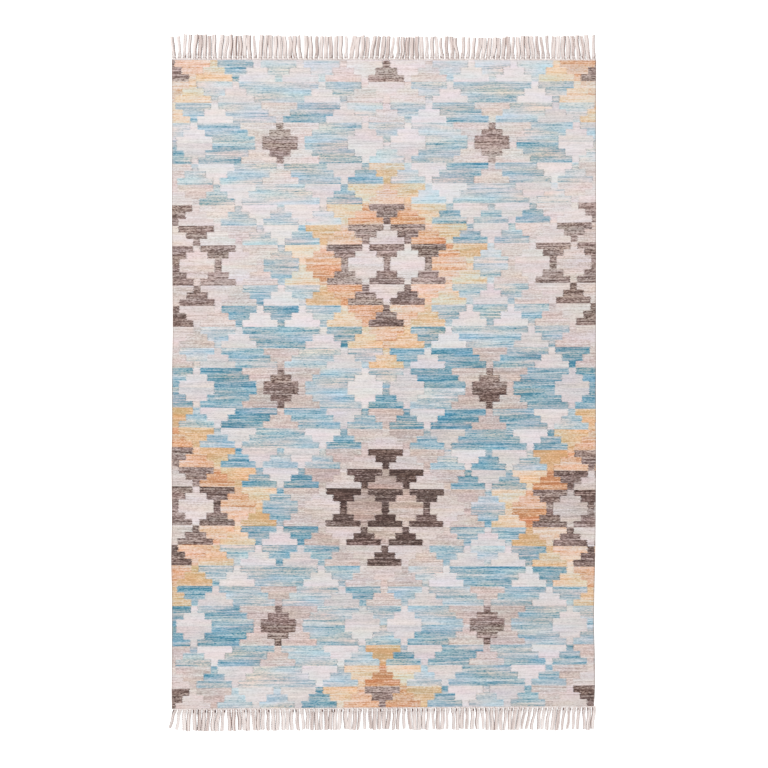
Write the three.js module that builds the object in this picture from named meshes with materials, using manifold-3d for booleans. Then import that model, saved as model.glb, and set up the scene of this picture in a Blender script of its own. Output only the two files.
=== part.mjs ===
// A handwoven kilim rug that lies flat, with a knotted warp fringe at each end.
// Sizes are in millimetres. X runs across the rug, Y along it towards its far end, and Z is up.
// Everything rests on the plane Z = 0, and the origin is under the middle of the whole rug.

import * as THREE from "three";
import { mergeVertices } from "three/addons/utils/BufferGeometryUtils.js";
import Module from "manifold-3d";

// Driving dimensions of the cloth
const CLOTH = { width: 1200, length: 1830, thickness: 4, rimRounding: 1.2 };
const RIM_STEPS = 2;
const SELVEDGE_STEPS = 30;
const PIECE_GAP = 0.3;

// How much further along +Y the right corner of each end lies than its left corner
const END_SLANT = { far: -1.7, near: 7.6 };

// Where the selvedges stray inwards, by distance along the rug from its far end
const SELVEDGES = [
  { along: 0, leftIn: 0, rightIn: 0 },
  { along: 130, leftIn: 1, rightIn: 0.2 },
  { along: 425, leftIn: 0, rightIn: 0 },
  { along: 820, leftIn: 2, rightIn: 0.4 },
  { along: 920, leftIn: 0, rightIn: 0.2 },
  { along: 1010, leftIn: 0.8, rightIn: 0.2 },
  { along: 1115, leftIn: -0.6, rightIn: 0.3 },
  { along: 1315, leftIn: 0, rightIn: 1.7 },
  { along: 1415, leftIn: -1.5, rightIn: 2.9 },
  { along: 1510, leftIn: 0.4, rightIn: 5.2 },
  { along: 1610, leftIn: 0.2, rightIn: 6 },
  { along: 1710, leftIn: 0.2, rightIn: 3.5 },
  { along: 1780, leftIn: -0.4, rightIn: 3.6 },
  { along: CLOTH.length, leftIn: 0.3, rightIn: 6.4 },
];

// The strip of gathered warps that the locks of a fringe grow from
const ROOT_STRIP = { depth: 4, height: 3.2, rounding: 0.8, inset: 1.5 };

// A lock from its root to its cut end: a share of the pitch or of the lock's own width, and a height
const KNOT_STATIONS = [
  { out: -2.5, pitchShare: 0.46, height: 2.6 },
  { out: 1.2, pitchShare: 0.48, height: 3.4 },
  { out: 4.6, pitchShare: 0.64, height: 6 },
  { out: 8.6, pitchShare: 0.42, height: 3.4 },
];
const LOCK_STATIONS = [
  { reachShare: 0.34, widthShare: 0.94, height: 3.6 },
  { reachShare: 0.66, widthShare: 1, height: 3.3 },
  { reachShare: 1, widthShare: 0.96, height: 2.8 },
];
const LOCK = {
  clearance: 1.1,
  topShare: 0.58,
  clumpGap: 5.6,
  clumpGapStray: 1.2,
  clumpGapLeast: 2.5,
  bendTogether: 1,
  bendAlone: 0.35,
  lengthStray: 1.8,
};

// Neighbouring locks that lie together: how many they are, and how far their ends lie to +X of
// their roots
const clump = (size, lean) => ({ size, lean });

// Each fringe: its widest locks, its clumps from left to right, and how far from the strip its cut
// ends lie, by place across the rug
const FRINGES = {
  far: {
    side: 1,
    widest: 11.5,
    clumps: [
      clump(1, -6), clump(1, -1), clump(1, 1.5), clump(1, 1.7), clump(5, 1), clump(7, 1.5),
      clump(1, -4), clump(6, 0), clump(2, -3), clump(1, -9), clump(2, 0), clump(2, 3),
      clump(2, -3), clump(2, 0), clump(1, 0), clump(4, 6), clump(2, 8), clump(2, 8),
      clump(1, 1.5), clump(1, 6.5), clump(5, -2), clump(1, -1.5), clump(1, 0.5), clump(1, -3),
      clump(1, -4), clump(1, -2), clump(2, -4), clump(1, 4), clump(1, 5), clump(1, 6.5),
      clump(2, 7), clump(3, 6), clump(2, -1.5), clump(1, -2.5), clump(4, -2), clump(1, -4),
      clump(1, -5.5), clump(1, -3.5), clump(2, 0), clump(3, -4.5), clump(3, -6.5), clump(1, -0.5),
    ],
    reaches: [
      { across: 0, reach: 60 },
      { across: 40, reach: 66 },
      { across: 150, reach: 64 },
      { across: 600, reach: 62 },
      { across: 790, reach: 60 },
      { across: 880, reach: 58 },
      { across: 1010, reach: 62 },
      { across: 1165, reach: 66 },
      { across: CLOTH.width, reach: 67 },
    ],
  },
  near: {
    side: -1,
    widest: 10.6,
    clumps: [
      clump(1, -11.5), clump(1, -7), clump(2, -1), clump(4, 0), clump(2, -3), clump(1, -4),
      clump(2, 4.5), clump(1, 6.5), clump(2, 3), clump(3, 4), clump(1, 5), clump(2, 3.5),
      clump(2, 4.5), clump(1, 0), clump(1, 5.5), clump(1, 6), clump(1, 6), clump(2, 3.5),
      clump(1, 0), clump(4, -1), clump(3, 0), clump(1, -5), clump(1, 0), clump(2, 3),
      clump(3, -4), clump(1, 0), clump(1, -5.5), clump(1, 1.5), clump(4, 4), clump(1, -3.5),
      clump(1, 1.5), clump(2, 0), clump(1, -1), clump(1, 4), clump(2, -1), clump(1, -0.5),
      clump(1, 1.5), clump(1, 3), clump(1, 4), clump(3, 2), clump(1, -8.5), clump(1, -7.5),
      clump(3, -7.5), clump(1, -10.5), clump(1, -10.5), clump(1, -10), clump(1, -6.5), clump(1, -9.5),
      clump(1, -9.5), clump(2, -8.5), clump(1, -6.5), clump(1, -6), clump(1, -5), clump(1, -5),
      clump(1, 0), clump(2, -3),
    ],
    reaches: [
      { across: 0, reach: 47 },
      { across: 22, reach: 57 },
      { across: 60, reach: 59 },
      { across: 450, reach: 57 },
      { across: 770, reach: 59 },
      { across: 1000, reach: 61 },
      { across: CLOTH.width, reach: 62 },
    ],
  },
};

const MATERIALS = {
  cloth: new THREE.MeshStandardMaterial({ color: 0xc4c6c4, roughness: 0.95, metalness: 0 }),
  yarn: new THREE.MeshStandardMaterial({ color: 0xded4ca, roughness: 0.92, metalness: 0 }),
};

const wasm = await Module();
wasm.setup();

// A repeatable value from -1 to 1 for one item of one kind of unevenness.
function stray(item, kind) {
  const wave = Math.sin(item * 12.9898 + kind * 78.233) * 43758.5453;
  return 2 * (wave - Math.floor(wave)) - 1;
}

// The value of a table's column at a place between its rows.
function between(rows, key, column, place) {
  const next = Math.max(1, rows.findIndex((row, i) => i > 0 && row[key] >= place));
  const [before, after] = [rows[next - 1], rows[next]];
  const share = (place - before[key]) / (after[key] - before[key]);
  return THREE.MathUtils.lerp(before[column], after[column], share);
}

// Y of the cloth's end at a place across the rug, counted from its left edge.
function endLine(end, across) {
  const middle = (FRINGES[end].side * CLOTH.length) / 2;
  return middle + END_SLANT[end] * (across / CLOTH.width - 0.5);
}

// One selvedge as points from the far end to the near end.
function selvedge(side, column) {
  const points = SELVEDGES.map((row) => {
    const x = side * (CLOTH.width / 2 - row[column]);
    const far = endLine("far", x + CLOTH.width / 2);
    const near = endLine("near", x + CLOTH.width / 2);
    return new THREE.Vector2(x, THREE.MathUtils.lerp(far, near, row.along / CLOTH.length));
  });
  return new THREE.SplineCurve(points).getSpacedPoints(SELVEDGE_STEPS);
}

// A flat piece of the given outline and height, with a rounded rim inside that outline.
function flatPiece(outline, height, rounding, steps) {
  const piece = new THREE.ExtrudeGeometry(new THREE.Shape(outline), {
    depth: height - 2 * rounding,
    bevelThickness: rounding,
    bevelSize: rounding,
    bevelOffset: -rounding,
    bevelSegments: steps,
    steps: 1,
  });
  return piece.translate(0, 0, rounding);
}

// The woven field, with the selvedges and both ends as the loom left them.
function wovenField() {
  const left = selvedge(-1, "leftIn");
  const right = selvedge(1, "rightIn");
  const outline = [...left, ...right.reverse()];
  return flatPiece(outline, CLOTH.thickness, CLOTH.rimRounding, RIM_STEPS);
}

// The strip of gathered warps beyond one end of the cloth.
function rootStrip(end) {
  const { side } = FRINGES[end];
  const corners = [
    [ROOT_STRIP.inset, PIECE_GAP],
    [CLOTH.width - ROOT_STRIP.inset, PIECE_GAP],
    [CLOTH.width - ROOT_STRIP.inset, PIECE_GAP + ROOT_STRIP.depth],
    [ROOT_STRIP.inset, PIECE_GAP + ROOT_STRIP.depth],
  ];
  const outline = corners.map(
    ([across, out]) => new THREE.Vector2(across - CLOTH.width / 2, endLine(end, across) + side * out),
  );
  return flatPiece(outline, ROOT_STRIP.height, ROOT_STRIP.rounding, 1);
}

// Where every lock of a fringe has its root and its cut end, and how wide it is.
function layOutLocks(end) {
  const { side, widest, clumps, reaches } = FRINGES[end];
  const count = clumps.reduce((sum, { size }) => sum + size, 0);
  const pitch = CLOTH.width / count;
  const locks = [];
  let edge = -Infinity;
  clumps.forEach(({ size, lean }, number) => {
    const start = locks.length * pitch;
    const gap = LOCK.clumpGap + LOCK.clumpGapStray * stray(number, side);
    const loosePitch = (size * pitch - gap + LOCK.clearance) / size;
    const tipPitch = Math.min(loosePitch, widest + LOCK.clearance);
    const half = (size * tipPitch - LOCK.clearance) / 2;
    const leaning = start + (size * pitch) / 2 + lean;
    const middle = Math.max(leaning, edge + LOCK.clumpGapLeast + half);
    edge = middle + half;
    const bend = LOCK.bendTogether * stray(number, side + 3);
    for (let i = 0; i < size; i += 1) {
      const root = start + (i + 0.5) * pitch;
      const item = locks.length;
      locks.push({
        root,
        tip: middle + (i + 0.5 - size / 2) * tipPitch,
        reach: between(reaches, "across", "reach", root) + LOCK.lengthStray * stray(item, side + 6),
        width: tipPitch - LOCK.clearance,
        bend: bend + LOCK.bendAlone * stray(item, side + 9),
      });
    }
  });
  return { pitch, locks };
}

// A lock's stations, from inside the strip to its cut end.
function lockStations(lock, pitch) {
  const knot = KNOT_STATIONS.map(({ out, pitchShare, height }) => ({
    out,
    width: pitch * pitchShare,
    height,
  }));
  const body = LOCK_STATIONS.map(({ reachShare, widthShare, height }) => ({
    out: lock.reach * reachShare,
    width: lock.width * widthShare,
    height,
  }));
  return [...knot, ...body];
}

// A solid through rings with equally many points; side is -1 where the rings run the other way.
function loft(rings, side) {
  const sides = rings[0].length;
  const last = (rings.length - 1) * sides;
  const triangles = [];
  for (let ring = 0; ring < last; ring += sides) {
    for (let i = 0; i < sides; i += 1) {
      const here = ring + i;
      const beside = ring + ((i + 1) % sides);
      triangles.push([here, beside, beside + sides], [here, beside + sides, here + sides]);
    }
  }
  for (let i = 1; i + 1 < sides; i += 1) {
    triangles.push([0, i + 1, i], [last, last + i, last + i + 1]);
  }
  const index = triangles.flatMap(([a, b, c]) => (side < 0 ? [a, b, c] : [a, c, b]));
  const solid = new THREE.BufferGeometry();
  solid.setAttribute("position", new THREE.Float32BufferAttribute(rings.flat(2), 3));
  return solid.setIndex(index);
}

// One four-sided lock that lies on the floor, with its knot beside the strip.
function fringeLock(end, lock, pitch) {
  const { side } = FRINGES[end];
  const outer = PIECE_GAP + ROOT_STRIP.depth;
  const rings = lockStations(lock, pitch).map(({ out, width, height }) => {
    const share = THREE.MathUtils.clamp(out / lock.reach, 0, 1);
    const sway = lock.bend * Math.sin(2 * Math.PI * share);
    const across = THREE.MathUtils.lerp(lock.root, lock.tip, share ** 0.8) + sway;
    const x = across - CLOTH.width / 2;
    const y = endLine(end, lock.root) + side * (outer + out);
    const half = width / 2;
    const top = half * LOCK.topShare;
    return [
      [x - half, y, 0],
      [x + half, y, 0],
      [x + top, y, height],
      [x - top, y, height],
    ];
  });
  return loft(rings, side);
}

// A solid for joining, from a closed geometry.
function solidFrom(geometry) {
  const bare = geometry.clone();
  bare.deleteAttribute("normal");
  bare.deleteAttribute("uv");
  const merged = mergeVertices(bare);
  return new wasm.Manifold(
    new wasm.Mesh({
      numProp: 3,
      vertProperties: merged.attributes.position.array,
      triVerts: new Uint32Array(merged.index.array),
    }),
  );
}

// The geometry of a joined solid.
function geometryFrom(solid) {
  const mesh = solid.getMesh();
  const geometry = new THREE.BufferGeometry();
  geometry.setAttribute("position", new THREE.Float32BufferAttribute(mesh.vertProperties, 3));
  geometry.setIndex([...mesh.triVerts]);
  geometry.computeVertexNormals();
  return geometry;
}

// A whole fringe: its strip with every lock joined to it.
function fringe(end) {
  const { pitch, locks } = layOutLocks(end);
  const joined = locks.reduce(
    (solid, lock) => solid.add(solidFrom(fringeLock(end, lock, pitch))),
    solidFrom(rootStrip(end)),
  );
  return geometryFrom(joined);
}

function piece(name, geometry, material) {
  const mesh = new THREE.Mesh(geometry, material);
  mesh.name = name;
  return mesh;
}

const rug = new THREE.Group();
rug.add(
  piece("woven_field", wovenField(), MATERIALS.cloth),
  piece("fringe_far_end", fringe("far"), MATERIALS.yarn),
  piece("fringe_near_end", fringe("near"), MATERIALS.yarn),
);

// The origin goes under the middle of the rug, its fringes included.
const middle = new THREE.Box3().setFromObject(rug).getCenter(new THREE.Vector3());
rug.position.set(-middle.x, -middle.y, 0);

export default rug;
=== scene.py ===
"""Looks of a handwoven kilim rug that lies flat on a pale studio floor, with a knotted fringe at each end.

Everything is in metres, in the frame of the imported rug: X across the rug, Y along it towards
its far end, and Z up from the floor.
"""

import logging
import math
from dataclasses import dataclass, field
from enum import Enum, IntEnum
from functools import cached_property
from typing import NamedTuple

import bmesh
import bpy
import numpy as np
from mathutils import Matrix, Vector, noise


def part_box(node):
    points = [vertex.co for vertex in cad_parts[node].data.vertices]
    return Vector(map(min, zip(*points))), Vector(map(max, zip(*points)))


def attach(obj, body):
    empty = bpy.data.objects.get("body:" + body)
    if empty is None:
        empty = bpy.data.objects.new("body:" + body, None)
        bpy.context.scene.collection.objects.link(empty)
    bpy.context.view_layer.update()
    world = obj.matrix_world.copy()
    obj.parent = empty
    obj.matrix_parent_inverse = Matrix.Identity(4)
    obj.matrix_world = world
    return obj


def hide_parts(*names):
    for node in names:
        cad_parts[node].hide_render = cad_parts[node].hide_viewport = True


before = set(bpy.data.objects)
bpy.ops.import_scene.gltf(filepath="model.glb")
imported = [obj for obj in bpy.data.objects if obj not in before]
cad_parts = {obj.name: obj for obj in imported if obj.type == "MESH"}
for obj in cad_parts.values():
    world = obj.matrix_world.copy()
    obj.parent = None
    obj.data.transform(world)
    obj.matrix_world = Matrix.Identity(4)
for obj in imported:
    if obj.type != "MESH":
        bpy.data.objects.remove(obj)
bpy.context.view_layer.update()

MM = 0.001
BODY = "root"
PHOTO_SIDE = 768
PHOTO_PIXEL = 2.8255 * MM
PLAIN_WHITE = (1.0, 1.0, 1.0, 1.0)
SAME = 0.5
SCREEN_STEPS = 255
DARK_END = 0.04045
DARK_GAIN = 12.92
GAMMA_LIFT = 0.055
GAMMA = 2.4
ITEM_WAVE = 12.9898
KIND_WAVE = 78.233
WAVE_HEIGHT = 43758.5453
LOG = logging.getLogger("kilim")
Socket = bpy.types.NodeSocket
Shade = tuple[int, int, int]


class Wool(IntEnum):
    """The wools of the chart."""

    WHITE = 0
    BLUE = 1
    HALO = 2
    BROWN = 3
    CORE = 4
    INNER = 5
    OUTER = 6


# A quarter of one medallion's repeat. Each line is a row of stepped triangles, from the row at the
# medallion's middle outwards, and each letter is one triangle, from the medallion's axis outwards.
# The letters stand for the wools in their order.
CHART = (
    "NCNIOB",
    "CNIOBW",
    "NIOBWB",
    "IOBWBB",
    "OBWBBH",
    "BWBBHN",
)
WOOL_LETTERS = "WBHNCIO"


class DyeLot(NamedTuple):
    """Triangles woven as one: their row, first and last place in it, middle and width in units."""

    row: int
    first: int
    last: int
    middle: float
    run: float


MERGED_LOTS = (
    DyeLot(row=3, first=4, last=5, middle=15.0, run=9.0),
    DyeLot(row=4, first=3, last=4, middle=10.5, run=6.0),
    DyeLot(row=5, first=2, last=3, middle=7.5, run=6.0),
)


def light(shade: Shade) -> tuple[float, float, float, float]:
    """Turns a colour as it looks on a screen into linear light.

    Args:
        shade: red, green and blue, each from 0 to 255.

    Returns:
        The linear colour with an alpha of 1.
    """
    parts = np.array(shade) / SCREEN_STEPS
    bright = ((parts + GAMMA_LIFT) / (1 + GAMMA_LIFT)) ** GAMMA
    return (*np.where(parts <= DARK_END, parts / DARK_GAIN, bright).tolist(), 1.0)


def stray(item: float, kind: float) -> float:
    """A repeatable value from -1 to 1 for one item of one kind of unevenness."""
    wave = math.sin(item * ITEM_WAVE + kind * KIND_WAVE) * WAVE_HEIGHT
    return 2 * (wave - math.floor(wave)) - 1


def chance(item: float, kind: float) -> float:
    """A repeatable value from 0 to 1 for one item of one kind of unevenness."""
    return 0.5 + 0.5 * stray(item, kind)


def link(name: str, data: bpy.types.ID) -> bpy.types.Object:
    """Puts a mesh, a lamp or a camera in the scene.

    Args:
        name: the object's name.
        data: the mesh, the lamp or the camera.

    Returns:
        The new object, at the origin.
    """
    placed = bpy.data.objects.new(name, data)
    bpy.context.scene.collection.objects.link(placed)
    return placed


@dataclass(frozen=True)
class Stations:
    """A small table of measures by place, in millimetres: the columns' names, and the rows."""

    names: tuple[str, ...]
    rows: tuple[tuple[float, ...], ...]

    def column(self, name: str) -> np.ndarray:
        """One named column."""
        return np.array(self.rows, float)[:, self.names.index(name)]

    def at(self, places: np.ndarray, name: str, by: str) -> np.ndarray:
        """One column's values at places between those of another column."""
        return np.interp(places, self.column(by), self.column(name))


@dataclass(frozen=True)
class Loom:
    """The cloth as it came off the loom: its size, its uneven edges and how its chart drifted.

    The selvedges' table says how far each strays inwards. The row lines' one says how far from the
    far end a line of the chart lies on its three axes, and the axes' one where those lie across.
    """

    width: float = 1200 * MM
    length: float = 1830 * MM
    thickness: float = 4 * MM
    far_slant: float = -1.7 * MM
    near_slant: float = 7.6 * MM
    warps: int = 240
    chart_rows: int = 32
    units_between_axes: float = 30.0
    selvedges: Stations = Stations(
        ("along", "left_in", "right_in"),
        (
            (0, 0, 0), (130, 1, 0.2), (425, 0, 0), (820, 2, 0.4), (920, 0, 0.2),
            (1010, 0.8, 0.2), (1115, -0.6, 0.3), (1315, 0, 1.7), (1415, -1.5, 2.9), (1510, 0.4, 5.2),
            (1610, 0.2, 6), (1710, 0.2, 3.5), (1780, -0.4, 3.6), (1830, 0.3, 6.4),
        ),
    )
    row_lines: Stations = Stations(
        ("row", "left", "middle", "right"),
        (
            (-1, -56, -55, -55), (0, 0.5, 2.5, 1.5), (1, 61, 62.5, 60),
            (2, 121, 121.5, 121), (4, 237, 233.5, 232.5), (6, 354, 350, 347),
            (8, 469.5, 465, 459), (10, 582, 577, 572), (12, 695.5, 693, 687.5),
            (14, 814, 815.5, 812), (16, 926, 927.5, 927.5), (18, 1039, 1043.5, 1045),
            (20, 1150.5, 1157, 1162), (22, 1260, 1267.5, 1268), (24, 1370.5, 1372.5, 1374.5),
            (26, 1486.5, 1488.5, 1490), (28, 1601, 1597.5, 1595.5), (30, 1714.5, 1711.5, 1709),
            (31, 1778, 1770.5, 1768), (32, 1838, 1830.5, 1826), (33, 1896, 1888, 1884),
        ),
    )
    axes: Stations = Stations(
        ("along", "left", "middle", "right"),
        (
            (35, -602.5, 7, 607.5), (235, -596, 8.5, 602), (575, -587.5, 8.5, 595),
            (1260, -590.5, 4.5, 585), (1795, -599.5, -4.5, 583.5),
        ),
    )

    @cached_property
    def centre(self) -> Vector:
        """The middle of the cloth, without its stray, in the frame of the whole rug."""
        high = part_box("woven_field")[1]
        return Vector((high.x - self.width / 2, high.y - self.length / 2 + self.far_slant / 2, 0))

    def end_line(self, side: int, across: np.ndarray | float) -> np.ndarray | float:
        """Y of one end of the cloth at a place across it.

        Args:
            side: 1 for the far end, -1 for the near end.
            across: the distance from the left edge.

        Returns:
            Y in the frame of the whole rug.
        """
        slant = self.far_slant if side > 0 else self.near_slant
        return self.centre.y + side * self.length / 2 + slant * (across / self.width - 0.5)

    def selvedge(self, name: str, along: np.ndarray) -> np.ndarray:
        """How far one selvedge strays inwards, as a smooth curve through its stations.

        Args:
            name: the column of the selvedge.
            along: distances from the far end.

        Returns:
            The stray in metres.
        """
        stations = self.selvedges.column("along") * MM
        values = self.selvedges.column(name) * MM
        slopes = np.gradient(values, stations)
        index = np.clip(np.searchsorted(stations, along, side="right") - 1, 0, len(stations) - 2)
        step = stations[index + 1] - stations[index]
        t = np.clip((along - stations[index]) / step, 0, 1)
        rise = t * t * (3 - 2 * t)
        leave = t * (1 - t) * (1 - t) * step * slopes[index]
        arrive = t * t * (t - 1) * step * slopes[index + 1]
        return values[index] + (values[index + 1] - values[index]) * rise + leave + arrive

    def sides(self, along: np.ndarray) -> tuple[np.ndarray, np.ndarray]:
        """Where both selvedges lie.

        Args:
            along: distances from the far end.

        Returns:
            X of the left one and of the right one, in the frame of the whole rug.
        """
        left = self.centre.x - self.width / 2 + self.selvedge("left_in", along)
        right = self.centre.x + self.width / 2 - self.selvedge("right_in", along)
        return left, right

    def sides_at(self, y: np.ndarray) -> tuple[np.ndarray, np.ndarray]:
        """X of both selvedges at places along the whole rug."""
        return self.sides(self.centre.y + self.length / 2 - y)

    def place(self, across_share: np.ndarray, along_share: np.ndarray) -> tuple[np.ndarray, np.ndarray]:
        """Where points of the cloth lie, from their shares of the width and of the length.

        Args:
            across_share: 0 at the left selvedge, 1 at the right one.
            along_share: 0 at the far end, 1 at the near end.

        Returns:
            X and Y in the frame of the whole rug.
        """
        left, right = self.sides(along_share * self.length)
        x = left + across_share * (right - left)
        across = x - self.centre.x + self.width / 2
        far, near = self.end_line(1, across), self.end_line(-1, across)
        return x, far + along_share * (near - far)

    def chart_place(self, x: np.ndarray, y: np.ndarray) -> tuple[np.ndarray, np.ndarray]:
        """Where points of the cloth lie on the chart, with the drift of the weaving.

        Args:
            x: X of each point in the frame of the whole rug.
            y: Y of each point in the frame of the whole rug.

        Returns:
            The units across from the left medallions' axis, and the rows from the far end.
        """
        names = ("left", "middle", "right")
        across = (x - self.centre.x) / MM
        along = (self.centre.y + self.length / 2 - y) / MM
        left, middle, right = (self.axes.at(along, name, by="along") for name in names)
        step = self.units_between_axes
        before = step * (across - left) / (middle - left)
        after = step + step * (across - middle) / (right - middle)
        units = np.where(across < middle, before, after)
        share = units / (2 * step)
        left, middle, right = (self.row_lines.at(along, "row", by=name) for name in names)
        lines = (
            left * (1 - share) * (1 - 2 * share)
            + middle * 4 * share * (1 - share)
            + right * share * (2 * share - 1)
        )
        return units, lines


LOOM = Loom()


@dataclass
class Graph:
    """Adds nodes to one node tree, with short calls for the arithmetic of a pattern."""

    tree: bpy.types.NodeTree
    FIRST_COLOUR = 6
    SECOND_COLOUR = 7

    def feed(self, socket: Socket, value: object) -> None:
        """Feeds a socket.

        Args:
            socket: an input.
            value: an output that is linked to it, or a value of its own.
        """
        if isinstance(value, Socket):
            self.tree.links.new(value, socket)
        else:
            socket.default_value = value

    def add(self, kind: str, inputs: dict | None = None, **settings: object) -> bpy.types.Node:
        """Adds one node.

        Args:
            kind: the node's type.
            inputs: what each named or numbered input is fed.
            settings: the node's own settings.

        Returns:
            The new node.
        """
        node = self.tree.nodes.new(kind)
        for name, value in settings.items():
            setattr(node, name, value)
        for name, value in (inputs or {}).items():
            self.feed(node.inputs[name], value)
        return node

    def math(self, operation: str, *values: object) -> Socket:
        """The result of one operation on numbers or outputs."""
        return self.add("ShaderNodeMath", dict(enumerate(values)), operation=operation).outputs[0]

    def plus(self, *values: object) -> Socket:
        """The sum of several values.

        Args:
            values: numbers or outputs.

        Returns:
            The sum as an output.
        """
        total = values[0]
        for value in values[1:]:
            total = self.math("ADD", total, value)
        return total

    def minus(self, a: object, b: object) -> Socket:
        """The difference of two values."""
        return self.math("SUBTRACT", a, b)

    def times(self, a: object, b: object) -> Socket:
        """The product of two values."""
        return self.math("MULTIPLY", a, b)

    def scaled(self, value: object, factor: object, start: object) -> Socket:
        """A value times a factor, on top of a start."""
        return self.math("MULTIPLY_ADD", value, factor, start)

    def same(self, a: object, b: float) -> Socket:
        """1 where a whole number is the given one, else 0."""
        return self.math("COMPARE", a, b, SAME)

    def turned(self, value: Socket, strength: float, middle: float) -> Socket:
        """A noise value stretched around a new middle and kept between 0 and 1."""
        stretched = self.scaled(value, strength, middle - 0.5 * strength)
        return self.add("ShaderNodeClamp", {0: stretched}).outputs[0]

    def vector(self, x: object = 0.0, y: object = 0.0, z: object = 0.0) -> Socket:
        """Three values as one vector."""
        return self.add("ShaderNodeCombineXYZ", {0: x, 1: y, 2: z}).outputs[0]

    def vector_scaled(self, value: object, factor: object, start: object) -> Socket:
        """A vector times another one, on top of a start."""
        inputs = {0: value, 1: factor, 2: start}
        return self.add("ShaderNodeVectorMath", inputs, operation="MULTIPLY_ADD").outputs[0]

    def blend(self, share: object, a: object, b: object, blend_type: str = "MIX") -> Socket:
        """A colour between two colours, or multiplied by the second one."""
        inputs = {0: share, self.FIRST_COLOUR: a, self.SECOND_COLOUR: b}
        return self.add("ShaderNodeMix", inputs, data_type="RGBA", blend_type=blend_type).outputs[2]

    def ramp(self, value: object, stops: tuple, interpolation: str = "LINEAR") -> Socket:
        """A colour looked up along a ramp.

        Args:
            value: the place along the ramp.
            stops: pairs of a place and a colour.
            interpolation: how the ramp runs from one stop to the next.

        Returns:
            The colour output.
        """
        node = self.add("ShaderNodeValToRGB", {0: value})
        colours = node.color_ramp
        colours.interpolation = interpolation
        while len(colours.elements) < len(stops):
            colours.elements.new(1.0)
        for element, (place, colour) in zip(colours.elements, stops):
            element.position = place
            element.color = colour
        return node.outputs[0]

    def noise(self, place: object, scale: object = 1.0, detail: float = 0.0, space: str = "2D") -> Socket:
        """Smooth noise.

        Args:
            place: the place that the noise is read at, which is a number in 1D and else a vector.
            scale: how many bumps it has in one unit.
            detail: how many finer layers it has.
            space: its dimensions.

        Returns:
            The noise value, about 0.5 on average.
        """
        inputs = {"W" if space == "1D" else "Vector": place, "Scale": scale, "Detail": detail}
        return self.add("ShaderNodeTexNoise", inputs, noise_dimensions=space).outputs[0]

    def chance(self, place: object) -> Socket:
        """A value from 0 to 1 with no link between neighbouring places."""
        return self.add("ShaderNodeTexWhiteNoise", {"Vector": place}, noise_dimensions="3D").outputs[0]

    def group(self, name: str, **inputs: object) -> dict[str, Socket]:
        """Places a node group and gives its outputs by name."""
        node = self.add("ShaderNodeGroup", inputs, node_tree=bpy.data.node_groups[name])
        return {socket.name: socket for socket in node.outputs}

    @classmethod
    def new_group(cls, name: str, **inputs: str) -> tuple["Graph", dict[str, Socket]]:
        """Starts a shader node group with named inputs.

        Args:
            name: the group's name.
            inputs: each input's name and kind.

        Returns:
            The group's graph, and its inputs by name.
        """
        graph = cls(bpy.data.node_groups.new(name, "ShaderNodeTree"))
        for socket, kind in inputs.items():
            graph.tree.interface.new_socket(socket, in_out="INPUT", socket_type=f"NodeSocket{kind}")
        given = graph.add("NodeGroupInput").outputs
        return graph, {socket.name: socket for socket in given if socket.name}

    def put_out(self, values: dict[str, Socket]) -> None:
        """Gives the group its outputs.

        Args:
            values: what each named output puts out.
        """
        for name, value in values.items():
            kind = "Vector" if value.type == "VECTOR" else "Float"
            self.tree.interface.new_socket(name, in_out="OUTPUT", socket_type=f"NodeSocket{kind}")
        self.add("NodeGroupOutput", values)

    @classmethod
    def new_material(cls, name: str, constants: dict[str, object]) -> tuple[bpy.types.Material, "Graph"]:
        """Starts a material.

        Args:
            name: the material's name.
            constants: what the sockets of its Principled BSDF hold.

        Returns:
            The material, and the graph of its nodes.
        """
        material = bpy.data.materials.new(name)
        material.use_nodes = True
        for socket, value in constants.items():
            material.node_tree.nodes["Principled BSDF"].inputs[socket].default_value = value
        return material, cls(material.node_tree)

    def dress(self, colour: Socket, height: Socket, strength: float, relief: float) -> None:
        """Feeds the material's own shader its colour and its relief.

        Args:
            colour: the colour.
            height: the height of the relief.
            strength: how strong the bump is.
            relief: how deep a height of 1 is.
        """
        surface = self.tree.nodes["Principled BSDF"]
        bump = self.add("ShaderNodeBump", {"Strength": strength, "Distance": relief, "Height": height})
        self.feed(surface.inputs["Base Color"], colour)
        self.feed(surface.inputs["Normal"], bump.outputs[0])


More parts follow.
